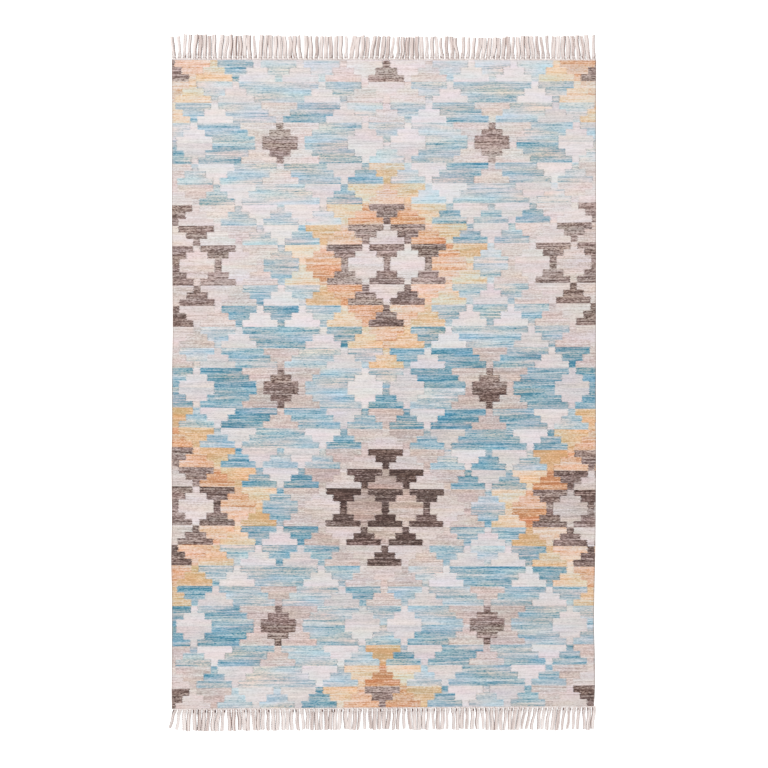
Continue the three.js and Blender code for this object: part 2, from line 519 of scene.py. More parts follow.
class StepChart:
    """The stepped chart as a node group: which wool a place is woven in, and from which dye lot."""

    WOOL_STEPS = 8.0
    MIDDLE_STEPS = 16.0
    RUN_STEPS = 12.0
    STEPS = 3.0
    PITCH = 3.0
    WIDEST = 2.5
    LINE_ROWS = 12.0
    LINE_START = 2.5
    HEART = 6.5
    JUST_BEYOND = 0.05

    @classmethod
    def stops(cls, row: int) -> tuple:
        """The ramp that holds one row of the chart: wool, middle of the dye lot and its width.

        Args:
            row: the row's number from the medallion's middle outwards.

        Returns:
            Pairs of a place along the ramp and the three values as a colour.
        """
        made = []
        for place, letter in enumerate(CHART[row]):
            lot = next((x for x in MERGED_LOTS if x.row == row and x.first <= place <= x.last), None)
            middle, run = (lot.middle, lot.run) if lot else (cls.PITCH * place, 0.0)
            wool = WOOL_LETTERS.index(letter)
            values = (wool / cls.WOOL_STEPS, middle / cls.MIDDLE_STEPS, run / cls.RUN_STEPS, 1.0)
            made.append((place / len(CHART[row]), values))
        return tuple(made)

    @classmethod
    def build(cls) -> None:
        """Makes the group, which takes a place on the chart.

        It gives the wool's number, 1 in an apricot medallion's share of the cloth, the dye lot's
        middle, its width and its own number, 1 in the lower middle medallion's heart, whose yarns
        are of a deeper batch, and how far the next wool is and a place just inside it. The plain
        heading past both ends of the chart is white, the wool numbered 0.
        """
        g, given = Graph.new_group("step_chart", Across="Float", Along="Float")
        across, along = given["Across"], given["Along"]
        row = g.math("FLOOR", along)
        step = g.math("FLOOR", g.times(g.minus(along, row), cls.STEPS))
        down_half = g.minus(cls.WIDEST, step)
        offset = g.minus(cls.PITCH, g.times(g.math("FLOORED_MODULO", row, 2.0), cls.PITCH))
        index = g.math("ROUND", g.math("DIVIDE", g.minus(across, offset), 2 * cls.PITCH))
        down_middle = g.scaled(index, 2 * cls.PITCH, offset)
        beside = g.minus(across, down_middle)
        outside = g.math("GREATER_THAN", g.math("ABSOLUTE", beside), down_half)
        shift = g.times(g.times(g.math("SIGN", beside), cls.PITCH), outside)
        triangle = g.plus(down_middle, shift)
        up_half = g.minus(cls.PITCH, down_half)
        half = g.plus(down_half, g.times(g.minus(up_half, down_half), outside))

        column = LOOM.units_between_axes
        medallion = g.math("ROUND", g.math("DIVIDE", triangle, column))
        signed = g.scaled(medallion, -column, triangle)
        side = g.math("SIGN", signed)
        place = g.math("DIVIDE", g.math("ABSOLUTE", signed), cls.PITCH)
        line = g.math("ROUND", g.math("DIVIDE", g.plus(row, cls.LINE_START), cls.LINE_ROWS))
        from_line = g.math("ABSOLUTE", g.scaled(line, -cls.LINE_ROWS, g.plus(row, cls.LINE_START)))
        chart_row = g.minus(from_line, 0.5)
        apricot = g.minus(1.0, g.math("FLOORED_MODULO", g.plus(medallion, line), 2.0))

        spot = g.math("DIVIDE", g.plus(place, 0.5), float(len(CHART[0])))
        held = g.ramp(spot, cls.stops(0), "CONSTANT")
        for number in range(1, len(CHART)):
            beyond = g.math("GREATER_THAN", chart_row, number - 0.5)
            held = g.blend(beyond, held, g.ramp(spot, cls.stops(number), "CONSTANT"))
        parts = g.add("ShaderNodeSeparateColor", {0: held}).outputs
        middle = g.scaled(medallion, column, g.times(g.times(parts[1], cls.MIDDLE_STEPS), side))
        run = g.math("MAXIMUM", g.times(parts[2], cls.RUN_STEPS), g.times(half, 2.0))

        half_length = LOOM.chart_rows / 2
        charted = g.math("LESS_THAN", g.math("ABSOLUTE", g.minus(along, half_length)), half_length)
        inside = g.minus(across, triangle)
        to_edge = g.minus(half, g.math("ABSOLUTE", inside))
        jump = g.times(g.math("SIGN", inside), g.plus(to_edge, cls.JUST_BEYOND))
        lower_middle = g.times(g.same(medallion, 1.0), g.same(line, 2.0))
        heart = g.math("LESS_THAN", g.plus(place, chart_row), cls.HEART)
        g.put_out(
            {
                "Wool": g.times(g.math("ROUND", g.times(parts[0], cls.WOOL_STEPS)), charted),
                "Apricot": apricot,
                "Middle": middle,
                "Run": run,
                "Lot": g.vector(middle, row, 0.0),
                "Deep Batch": g.times(lower_middle, heart),
                "To Edge": to_edge,
                "Beyond": g.plus(across, jump),
            }
        )


class WeftFace:
    """The weft-faced weave as a node group: picks across the rug that ride over hidden warps."""

    PICKS_PER_ROW = 30.0
    WARPS_PER_UNIT = 4.0
    WAVE_ACROSS = 0.35
    WAVE_ALONG = 1.4
    WAVE_DEPTH = 0.02
    RAGGED_ACROSS = 0.9
    RAGGED_ALONG = 0.87
    RAGGED_DEPTH = 0.34
    HATCHING = 0.03
    FLATNESS = 0.6
    WEFT_BODY = 0.45
    WARP_SWELL = 0.55
    FLOAT_SEED = 3.0

    @classmethod
    def build(cls) -> None:
        """Makes the group, which takes a place on the chart.

        It gives the pick's number, its direction, a chance value of each float of weft, the
        relief's height and the place with the ragged edges of hand weaving.
        """
        g, given = Graph.new_group("weft_face", Chart="Vector")
        across, drawn = g.add("ShaderNodeSeparateXYZ", {0: given["Chart"]}).outputs[:2]
        waves = g.noise(g.vector(g.times(across, cls.WAVE_ACROSS), g.times(drawn, cls.WAVE_ALONG)))
        along = g.plus(drawn, g.times(g.minus(waves, 0.5), cls.WAVE_DEPTH))
        picks = g.times(along, cls.PICKS_PER_ROW)
        pick = g.math("FLOOR", picks)
        parity = g.math("FLOORED_MODULO", pick, 2.0)
        direction = g.scaled(parity, -2.0, 1.0)
        warps = g.plus(g.times(across, cls.WARPS_PER_UNIT), g.times(parity, 0.5))
        ragged = g.noise(g.vector(g.times(across, cls.RAGGED_ACROSS), g.times(pick, cls.RAGGED_ALONG)))
        edge = g.plus(g.times(g.minus(ragged, 0.5), cls.RAGGED_DEPTH), g.times(direction, cls.HATCHING))
        round_pick, round_warp = (
            g.math("SINE", g.times(g.math("FRACT", value), math.pi)) for value in (picks, warps)
        )
        swell = g.plus(cls.WEFT_BODY, g.times(round_warp, cls.WARP_SWELL))
        g.put_out(
            {
                "Pick": pick,
                "Direction": direction,
                "Float": g.chance(g.vector(g.math("FLOOR", warps), pick, cls.FLOAT_SEED)),
                "Height": g.times(g.math("POWER", round_pick, cls.FLATNESS), swell),
                "Across": g.plus(across, edge),
                "Along": along,
            }
        )


class SpaceDye:
    """Unevenly dyed weft as a node group: how deep the dye is along the yarn that fills a dye lot.

    The values along the yarn have a start, a scale and a detail. Those along one pick have a scale,
    and the soft patches that lie over many picks have a start.
    """

    ALONG_YARN = {"Slow": (0.0, 0.02, 1.0), "Quick": (531.7, 0.16, 2.0)}
    ALONG_PICK = {"Streak": 0.22, "Fine": 1.6}
    PATCHES = {"Tint": 400.0, "Cast": 900.0}
    PATCH_ACROSS = 0.13
    PATCH_ALONG = 0.055
    WARP_CHANGE = 0.12
    PICK_CHANGE = 0.47
    YARN_SHIFT = 9000.0
    LOT_SHIFT = 977.0
    PICK_SHIFT = 613.0
    ROW_SHIFT = 1000.0
    PICK_SEED = (5.0, 1.0)
    WARP_SEED = (7.0, 4.0)

    @classmethod
    def build(cls) -> None:
        """Makes the group, which takes the pick, its direction, the place and the dye lot.

        It gives slow and quick dye values along the yarn, short streaks, values for each pick and
        each warp, two soft patches and the chance value of the lot.
        """
        numbers = dict.fromkeys(("Pick", "Direction", "Across", "Middle", "Run"), "Float")
        g, given = Graph.new_group("space_dye", **numbers, Lot="Vector")
        pick, across = given["Pick"], given["Across"]
        lot_tone = g.chance(given["Lot"])
        turned = g.times(g.minus(across, given["Middle"]), given["Direction"])
        length = g.plus(g.scaled(pick, given["Run"], turned), g.times(lot_tone, cls.YARN_SHIFT))
        made = {"Lot Tone": lot_tone}
        for name, (start, scale, detail) in cls.ALONG_YARN.items():
            made[name] = g.noise(g.plus(length, start), scale, detail, "1D")
        beside = g.plus(across, g.times(lot_tone, cls.LOT_SHIFT))
        own_row = g.times(g.chance(g.vector(pick, *cls.PICK_SEED)), cls.ROW_SHIFT)
        for name, scale in cls.ALONG_PICK.items():
            made[name] = g.noise(g.vector(g.times(beside, scale), own_row), detail=1.0)
        band = g.times(pick, cls.PATCH_ALONG)
        for name, start in cls.PATCHES.items():
            made[name] = g.noise(g.vector(g.times(beside, cls.PATCH_ACROSS), g.plus(band, start)), detail=2.0)
        warp = g.math("FLOOR", g.times(across, WeftFace.WARPS_PER_UNIT))
        own_line = g.times(g.chance(g.vector(warp, *cls.WARP_SEED)), cls.ROW_SHIFT)
        made["Warp Tone"] = g.noise(g.vector(own_line, g.times(pick, cls.WARP_CHANGE)), detail=1.0)
        pick_place = g.plus(g.times(pick, cls.PICK_CHANGE), g.times(lot_tone, cls.PICK_SHIFT))
        made["Pick Tone"] = g.noise(pick_place, detail=1.0, space="1D")
        g.put_out(made)


class WoolFibre:
    """Fine fibre as a node group, for the cloth and the fringe: a fleck mask and a fuzzy height."""

    FINER = 3.1
    FLECK_DETAIL = 2.0
    FUZZ_DETAIL = 3.0

    @classmethod
    def build(cls) -> None:
        """Makes the group, which takes a place and how many flecks a metre has."""
        g, given = Graph.new_group("wool_fibre", Place="Vector", Scale="Float")
        fleck = g.noise(given["Place"], given["Scale"], cls.FLECK_DETAIL, "3D")
        fuzz = g.noise(given["Place"], g.times(given["Scale"], cls.FINER), cls.FUZZ_DETAIL, "3D")
        g.put_out({"Fleck": fleck, "Fuzz": fuzz})


class Zones(Enum):
    """How deep the dye is from the far end to the near one: shares of the length, and depths."""

    BLUE = ((0.0, 0.33), (0.3, 0.36), (0.42, 0.51), (0.52, 0.58), (0.64, 0.59), (0.78, 0.54), (1.0, 0.5))
    PLAIN = ((0.0, 0.28), (0.3, 0.30), (0.42, 0.48), (0.52, 0.64), (0.66, 0.66), (0.8, 0.56), (1.0, 0.56))


@dataclass(frozen=True)
class Dye:
    """How deep a dye is, and how much each kind of unevenness counts in it."""

    gain: float
    start: float
    yarn: float
    streak: float
    pick: float
    lots: float
    fine: float
    fleck: float
    grain: float
    speck: float
    deep_batch: float = 0.0
    zones: Zones = Zones.PLAIN
    slow_share: float = 0.6

    def weights(self) -> dict[str, float]:
        """Weighs the uneven values.

        Returns:
            The weight of each value, by its name.
        """
        return {
            "Slow": self.slow_share * self.yarn,
            "Quick": self.yarn,
            "Streak": self.streak,
            "Pick Tone": self.pick,
            "Lot Tone": self.lots,
            "Fine": self.fine,
            "Fleck": self.fleck,
            "Float": self.grain,
        }


BLUE_DYE = Dye(1.0, 0.0, 0.9, 0.6, 0.4, 0.38, 0.4, 0.4, 0.15, 0.15, zones=Zones.BLUE)
PLAIN_DYE = Dye(0.5, 0.18, 0.8, 0.45, 0.3, 0.35, 0.4, 0.6, 0.15, 0.05)
PALE_DYE = Dye(0.9, 0.09, 0.5, 0.7, 0.5, 0.12, 0.5, 0.8, 0.25, 0.05)
WARM_DYE = Dye(0.68, 0.18, 1.0, 0.6, 0.4, 0.5, 0.4, 0.8, 0.25, 0.05)
UNDYED = Dye(0.5, 0.06, 0.6, 0.7, 0.4, 0.3, 0.6, 0.8, 0.2, 0.05, deep_batch=0.27)
HEATHER = Dye(0.45, 0.25, 0.4, 1.1, 0.5, 0.24, 0.9, 0.6, 0.35, 0.3, deep_batch=0.27)


@dataclass(frozen=True)
class DyedWool:
    """One wool of the cloth: its dye, its warm and cool cast, and its colours from pale to deep."""

    dye: Dye
    cast: float
    shades: tuple[Shade, ...]
    places: tuple[float, ...] = (0.08, 0.32, 0.52, 0.72, 0.94)

    def stops(self) -> tuple:
        """The wool's colour ramp."""
        return tuple(zip(self.places, map(light, self.shades)))


WOOLS = {
    "blue": DyedWool(
        BLUE_DYE, 0.7, ((217, 217, 219), (200, 205, 207), (174, 187, 194), (134, 170, 185), (66, 132, 158))
    ),
    "white": DyedWool(
        PLAIN_DYE, 0.2, ((228, 221, 222), (224, 217, 217), (218, 210, 210), (209, 202, 203), (191, 186, 188))
    ),
    "halo": DyedWool(
        PALE_DYE, 0.28, ((228, 219, 217), (221, 211, 208), (212, 198, 193), (203, 185, 180), (180, 161, 156))
    ),
    "cream": DyedWool(
        PALE_DYE, 0.22, ((231, 222, 221), (224, 213, 211), (222, 209, 206), (217, 202, 198), (198, 180, 174))
    ),
    "apricot": DyedWool(
        WARM_DYE, 0.4, ((231, 214, 204), (228, 200, 182), (226, 188, 160), (217, 163, 124), (194, 128, 86))
    ),
    "yellow": DyedWool(
        WARM_DYE, 0.5, ((228, 217, 205), (229, 210, 190), (227, 199, 168), (222, 184, 144), (206, 164, 118))
    ),
    "sand": DyedWool(
        UNDYED, 0.25, ((227, 215, 212), (220, 204, 198), (206, 187, 178), (192, 170, 160), (164, 141, 132))
    ),
    "brown": DyedWool(
        HEATHER,
        0.2,
        ((198, 180, 174), (165, 145, 139), (136, 114, 107), (108, 86, 80), (70, 50, 45)),
        (0.1, 0.32, 0.52, 0.71, 1.0),
    ),
}

# How much each value lightens or darkens the handspun yarn
SLUBS = {
    "Pick Tone": 0.2,
    "Streak": 0.25,
    "Fine": 0.2,
    "Warp Tone": 0.2,
    "Fleck": 0.25,
    "Float": 0.1,
    "Lot Tone": 0.1,
}
CHART_SCALE = (62.0, 34.0, 1.0)
CHART_START = (-1.0, -1.0, 0.0)


@dataclass(frozen=True)
class KilimCloth:
    """The finish of the woven field."""

    roughness: float = 0.94
    sheen: float = 0.12
    bump: float = 0.8
    relief: float = 0.55 * MM
    fuzz: float = 0.5
    fibre_stretch: tuple[float, float, float] = (0.7, 1.0, 1.0)
    flecks: float = 310.0
    speck_share: float = 0.1
    speck_patches: float = 6.0
    slit_patches: float = 8.0
    patch_middle: float = 0.4
    warm: tuple[float, float] = (-0.15, -0.7)
    green: tuple[float, float, float] = (-0.06, 0.08, -0.12)
    core_share: float = 0.35
    slub_depth: float = 0.6
    # Painted shade in the slits where two wools meet at an upright edge
    slit_width: float = 0.16
    slit_shade_depth: float = 0.8
    closed_share: float = 0.35
    slit_seed: tuple[float, float] = (11.0, 2.0)
    blue_slits: float = 0.6
    faint_slits: float = 0.3
    slit_shade: Shade = (96, 92, 94)
    selvedge: Shade = (150, 132, 124)
    selvedge_share: float = 0.75

    def build(self) -> bpy.types.Material:
        """Makes the cloth's material.

        Returns:
            A material that reads the cloth's own chart UV map.
        """
        constants = {"Roughness": self.roughness, "Sheen Weight": self.sheen}
        material, g = Graph.new_material("kilim_cloth", constants)
        for maker in (WeftFace, StepChart, SpaceDye, WoolFibre):
            maker.build()
        uv = g.add("ShaderNodeUVMap", uv_map="chart").outputs[0]
        parts = g.group("weft_face", Chart=g.vector_scaled(uv, CHART_SCALE, CHART_START))
        parts |= g.group("step_chart", Across=parts["Across"], Along=parts["Along"])
        yarn = {name: parts[name] for name in ("Pick", "Direction", "Across", "Middle", "Run", "Lot")}
        parts |= g.group("space_dye", **yarn)
        place = g.add("ShaderNodeTexCoord").outputs["Object"]
        stretched = g.add("ShaderNodeMapping", {"Vector": place, "Scale": self.fibre_stretch}).outputs[0]
        parts |= g.group("wool_fibre", Place=stretched, Scale=self.flecks)

        colour = self.shade_slits(g, self.slub(g, self.mix_wools(g, parts), parts), parts)
        # The cloth turns darker within a few millimetres of both selvedges
        selvedge = g.add("ShaderNodeAttribute", attribute_name="selvedge").outputs["Fac"]
        colour = g.blend(g.times(selvedge, self.selvedge_share), colour, light(self.selvedge))
        height = g.plus(parts["Height"], g.times(parts["Fuzz"], self.fuzz))
        g.dress(colour, height, self.bump, self.relief)
        return material

    def depths(self, g: Graph, parts: dict[str, Socket]) -> dict[Dye, Socket]:
        """How deep every dye is at a place.

        Args:
            g: the material's graph.
            parts: the groups' outputs.

        Returns:
            The depth of each dye.
        """
        rows = g.times(parts["Along"], 1.0 / LOOM.chart_rows)
        clusters = g.turned(parts["Cast"], self.speck_patches, self.patch_middle)
        specks = g.times(g.math("GREATER_THAN", parts["Float"], 1.0 - self.speck_share), clusters)
        made = {}
        for dye in dict.fromkeys(wool.dye for wool in WOOLS.values()):
            weights = dye.weights()
            stops = tuple((place, (depth, depth, depth, 1.0)) for place, depth in dye.zones.value)
            base = g.scaled(g.ramp(rows, stops), dye.gain, dye.start)
            if dye.deep_batch:
                base = g.plus(g.times(parts["Deep Batch"], dye.deep_batch), base)
            start = g.minus(base, 0.5 * sum(weights.values()))
            uneven = (g.times(parts[name], weight) for name, weight in weights.items())
            made[dye] = g.plus(start, g.times(specks, dye.speck), *uneven)
        return made

    def mix_wools(self, g: Graph, parts: dict[str, Socket]) -> Socket:
        """Colours every place by its wool, by how deep the dye is there and by its soft casts.

        Args:
            g: the material's graph.
            parts: the groups' outputs.

        Returns:
            The cloth's colour.
        """
        warmth, green = (g.minus(parts[name], 0.5) for name in ("Tint", "Cast"))
        lean = g.vector(warmth, *(g.times(warmth, share) for share in self.warm))
        start = g.vector(*(g.scaled(green, share, 1.0) for share in self.green))
        depths = self.depths(g, parts)
        dyed = {}
        for name, wool in WOOLS.items():
            casts = g.vector_scaled(lean, (wool.cast,) * 3, start)
            dyed[name] = g.blend(1.0, g.ramp(depths[wool.dye], wool.stops()), casts, "MULTIPLY")
        apricot = parts["Apricot"]
        woven = {
            Wool.BLUE: dyed["blue"],
            Wool.HALO: dyed["halo"],
            Wool.BROWN: dyed["brown"],
            Wool.CORE: g.blend(g.times(apricot, self.core_share), dyed["sand"], dyed["white"]),
            Wool.INNER: g.blend(apricot, dyed["cream"], dyed["apricot"]),
            Wool.OUTER: g.blend(apricot, dyed["halo"], dyed["yellow"]),
        }
        colour = dyed["white"]
        for wool, yarn in woven.items():
            colour = g.blend(g.same(parts["Wool"], float(wool)), colour, yarn)
        return colour

    def shade_slits(self, g: Graph, colour: Socket, parts: dict[str, Socket]) -> Socket:
        """Paints shade into the slits that tapestry weaving leaves where two wools meet at an upright edge.

        Args:
            g: the material's graph.
            colour: the cloth's colour.
            parts: the groups' outputs.

        Returns:
            The colour with the painted shade in the slits.
        """
        wool = parts["Wool"]
        other = g.group("step_chart", Across=parts["Beyond"], Along=parts["Along"])["Wool"]
        meets = g.minus(1.0, g.same(wool, other))
        close = g.plus(1.0, g.times(parts["To Edge"], -1.0 / self.slit_width))
        close = g.add("ShaderNodeClamp", {0: close}).outputs[0]
        is_blue, is_brown = (g.same(wool, float(which)) for which in (Wool.BLUE, Wool.BROWN))
        dark = g.plus(g.times(is_blue, self.blue_slits), is_brown)
        tied = g.chance(g.vector(parts["Pick"], *self.slit_seed))
        held = g.math("GREATER_THAN", tied, self.closed_share)
        weight = g.scaled(dark, 1.0 - self.faint_slits, self.faint_slits)
        share = g.times(g.times(close, meets), g.times(weight, held))
        share = g.times(share, g.turned(parts["Tint"], self.slit_patches, self.patch_middle))
        return g.blend(g.times(share, self.slit_shade_depth), colour, light(self.slit_shade))

    def slub(self, g: Graph, colour: Socket, parts: dict[str, Socket]) -> Socket:
        """Lightens and darkens the wool where the handspun yarn runs thick and thin.

        Args:
            g: the material's graph.
            colour: the wool's colour.
            parts: the groups' outputs.

        Returns:
            The colour of the uneven yarn.
        """
        start = 1.0 + 0.5 * self.slub_depth * sum(SLUBS.values())
        tones = (g.times(parts[name], -self.slub_depth * weight) for name, weight in SLUBS.items())
        return g.blend(1.0, colour, g.plus(start, *tones), "MULTIPLY")


@dataclass(frozen=True)
class WarpYarn:
    """The finish of the fringe's undyed yarn."""

    shades: tuple[Shade, ...] = ((253, 246, 243), (238, 225, 220), (197, 172, 164), (90, 58, 49))
    places: tuple[float, ...] = (0.1, 0.4, 0.75, 1.0)
    roughness: float = 0.9
    bump: float = 0.7
    relief: float = 0.35 * MM
    ridge_pitch: float = 2.6 * MM
    ridge_height: float = 0.35
    flecks: float = 500.0
    fleck_contrast: float = 0.6
    # How strongly the painted shade on the yarns' flanks darkens them
    flank_shade_depth: float = 0.85

    def build(self) -> bpy.types.Material:
        """Makes the yarn's material.

        Returns:
            A material that reads each yarn's own place and tone, which also carry the painted shade on its
            flanks and at its knot.
        """
        material, g = Graph.new_material("warp_yarn", {"Roughness": self.roughness})
        place = g.add("ShaderNodeAttribute", attribute_name="yarn_place").outputs["Vector"]
        tone = g.add("ShaderNodeAttribute", attribute_name="yarn_tone").outputs["Fac"]
        # The third value of a yarn's place is the painted shade on its flanks and along the shadow line
        # beside the next lock
        around, along, dark = g.add("ShaderNodeSeparateXYZ", {0: place}).outputs
        spiral = g.plus(around, g.times(along, 1.0 / self.ridge_pitch))
        ridges = g.math("SINE", g.times(spiral, 2 * math.pi))
        body = g.add("ShaderNodeTexCoord").outputs["Object"]
        fibre = g.group("wool_fibre", Place=body, Scale=self.flecks)
        fleck = g.times(g.minus(fibre["Fleck"], 0.5), self.fleck_contrast)
        depth = g.plus(tone, fleck, g.times(dark, self.flank_shade_depth))
        colour = g.ramp(depth, tuple(zip(self.places, map(light, self.shades))))
        height = g.plus(g.times(ridges, self.ridge_height), fibre["Fuzz"])
        g.dress(colour, height, self.bump, self.relief)
        return material


@dataclass
class WovenField:
    """The cloth: a slab with real warp ribs, rounded selvedges and the drifted chart as its UV map."""

    loom: Loom = LOOM
    lengthwise_steps: int = 64
    rim: float = 1.2 * MM
    rim_segments: int = 3
    upright: float = 0.5
    rib_depth: float = 0.35 * MM
    selvedge_swell: float = 0.35 * MM
    selvedge_warps: tuple[float, float] = (0.3, 1.2)
    selvedge_width: float = 4 * MM
    wave: float = 0.25 * MM
    wave_scale: float = 5.0

    def height_at(self, across_share: np.ndarray, points: np.ndarray) -> np.ndarray:
        """How far the upper face lies above the middle of the cloth's thickness.

        Args:
            across_share: 0 at the left selvedge, 1 at the right one.
            points: the places, one to a row.

        Returns:
            The heights above the middle.
        """
        rib = 0.5 + 0.5 * np.cos(2 * math.pi * self.loom.warps * across_share)
        edge = np.minimum(across_share, 1 - across_share) * self.loom.warps
        first, last = self.selvedge_warps
        swell = np.where((edge > first) & (edge < last), self.selvedge_swell, 0.0)
        wave = np.array([noise.noise(place) for place in points * (self.wave_scale, self.wave_scale, 0)])
        return self.loom.thickness / 2 - self.rib_depth * rib + swell + self.wave * (wave - 1)

    def build(self, material: bpy.types.Material) -> bpy.types.Object:
        """Makes the cloth.

        Args:
            material: the cloth's material.

        Returns:
            The cloth's object, in place.
        """
        bm = bmesh.new()
        bmesh.ops.create_grid(bm, x_segments=2 * self.loom.warps, y_segments=self.lengthwise_steps, size=0.5)
        shares = np.array([vertex.co for vertex in bm.verts])
        x, y = self.loom.place(shares[:, 0] + 0.5, 0.5 - shares[:, 1])
        for vertex, place in zip(bm.verts, np.column_stack((x, y, 0 * x)).tolist()):
            vertex.co = place
        lower = list(bm.faces)
        raised = bmesh.ops.extrude_face_region(bm, geom=lower, use_keep_orig=True)["geom"]
        upper = [item for item in raised if isinstance(item, bmesh.types.BMVert)]
        bmesh.ops.reverse_faces(bm, faces=lower)
        bmesh.ops.translate(bm, verts=upper, vec=(0, 0, self.loom.thickness))
        bmesh.ops.recalc_face_normals(bm, faces=bm.faces)
        bmesh.ops.bevel(
            bm,
            geom=[edge for edge in bm.edges if self.is_rim(edge)],
            offset=self.rim,
            offset_type="OFFSET",
            affect="EDGES",
            segments=self.rim_segments,
            profile=0.5,
            material=-1,
        )
        self.raise_ribs(bm)
        mesh = bpy.data.meshes.new("kilim_cloth")
        bm.to_mesh(mesh)
        bm.free()
        self.write_layers(mesh)
        mesh.materials.append(material)
        mesh.shade_smooth()
        return link("kilim_cloth", mesh)

    def is_rim(self, edge: bmesh.types.BMEdge) -> bool:
        """Whether an edge lies between a flat face and an upright one."""
        uprights = {abs(face.normal.z) < self.upright for face in edge.link_faces}
        return len(uprights) == 2

    def raise_ribs(self, bm: bmesh.types.BMesh) -> None:
        """Moves both faces of the slab to the relief of the ribs.

        Args:
            bm: the flat slab.
        """
        points = np.array([vertex.co for vertex in bm.verts])
        left, right = self.loom.sides_at(points[:, 1])
        shares = np.clip((points[:, 0] - left) / (right - left), 0, 1)
        middle = self.loom.thickness / 2
        levels = middle + (points[:, 2] - middle) / middle * self.height_at(shares, points)
        for vertex, level in zip(bm.verts, np.clip(levels, 0, None).tolist()):
            vertex.co.z = level

    def write_layers(self, mesh: bpy.types.Mesh) -> None:
        """Writes the chart's places as a UV map, and 1 along both selvedges as an attribute.

        Args:
            mesh: the cloth's mesh.
        """
        chart = mesh.uv_layers.new(name="chart")
        marks = mesh.attributes.new("selvedge", "FLOAT", "POINT")
        points = np.zeros(len(mesh.vertices) * 3)
        mesh.vertices.foreach_get("co", points)
        x, y = points.reshape(-1, 3)[:, :2].T
        left, right = self.loom.sides_at(y)
        inside = np.minimum(x - left, right - x)
        marks.data.foreach_set("value", np.clip(1 - inside / self.selvedge_width, 0, 1).astype(np.float32))
        corners = np.zeros(len(mesh.loops), int)
        mesh.loops.foreach_get("vertex_index", corners)
        places = np.column_stack(self.loom.chart_place(x[corners], y[corners]))
        chart.data.foreach_set("uv", ((places - CHART_START[:2]) / CHART_SCALE[:2]).ravel())


class Kind(IntEnum):
    """The kinds of unevenness of a fringe. A value that differs between the ends adds its side."""

    GAP = 0
    BEND = 3
    LENGTH = 6
    OWN_BEND = 9
    TONE = 12
    YARN_LENGTH = 21
    YARN_SWAY = 22
    RADIUS = 23
    YARN_TONE = 24
    PHASE = 25
    WRAP_START = 26
    WRAP_WIDTH = 27
    FLANK_SHADE = 28
    STREAK = 29
    DARK_SIDE = 31
    SHADED = 32
    SHADE = 33
    SHADOW_LINE = 34
    LOCK_SWAY = 35
    HEADING = 40


@dataclass(frozen=True)
class Lock:
    """One lock of a fringe, in metres from the cloth's left edge and from its root strip."""

    root: float
    tip: float
    reach: float
    width: float
    bend: float
    lean_curve: float = 0.8

    def across(self, out: np.ndarray) -> np.ndarray:
        """Where the lock's middle lies across the rug.

        Args:
            out: distances out from its strip.

        Returns:
            Distances from the cloth's left edge.
        """
        share = np.clip(out / self.reach, 0, 1)
        sway = self.bend * np.sin(2 * math.pi * share)
        return self.root + (self.tip - self.root) * share**self.lean_curve + sway


# A yarn's course. At the knot: how far out, how far from the lock's middle in shares of the pitch,
# how high and how much higher the middle yarn lies, in millimetres. Along the body: shares of the
# reach and of the lock's half width, and the middle yarn's lift.
KNOT_COURSE = Stations(
    ("out", "spread", "height", "lift"),
    (
        (-4.0, 1 / 3, 2.0, 0.0),
        (-2.4, 0.32, 2.0, 0.0),
        (0.8, 0.26, 2.6, 0.5),
        (3.8, 0.24, 3.3, 0.9),
        (7.6, 0.28, 2.4, 1.3),
    ),
)
BODY_COURSE = Stations(("reach", "spread", "lift"), ((0.34, 0.9, 0.9), (0.66, 1.0, 0.5), (1.0, 0.85, 0.2)))


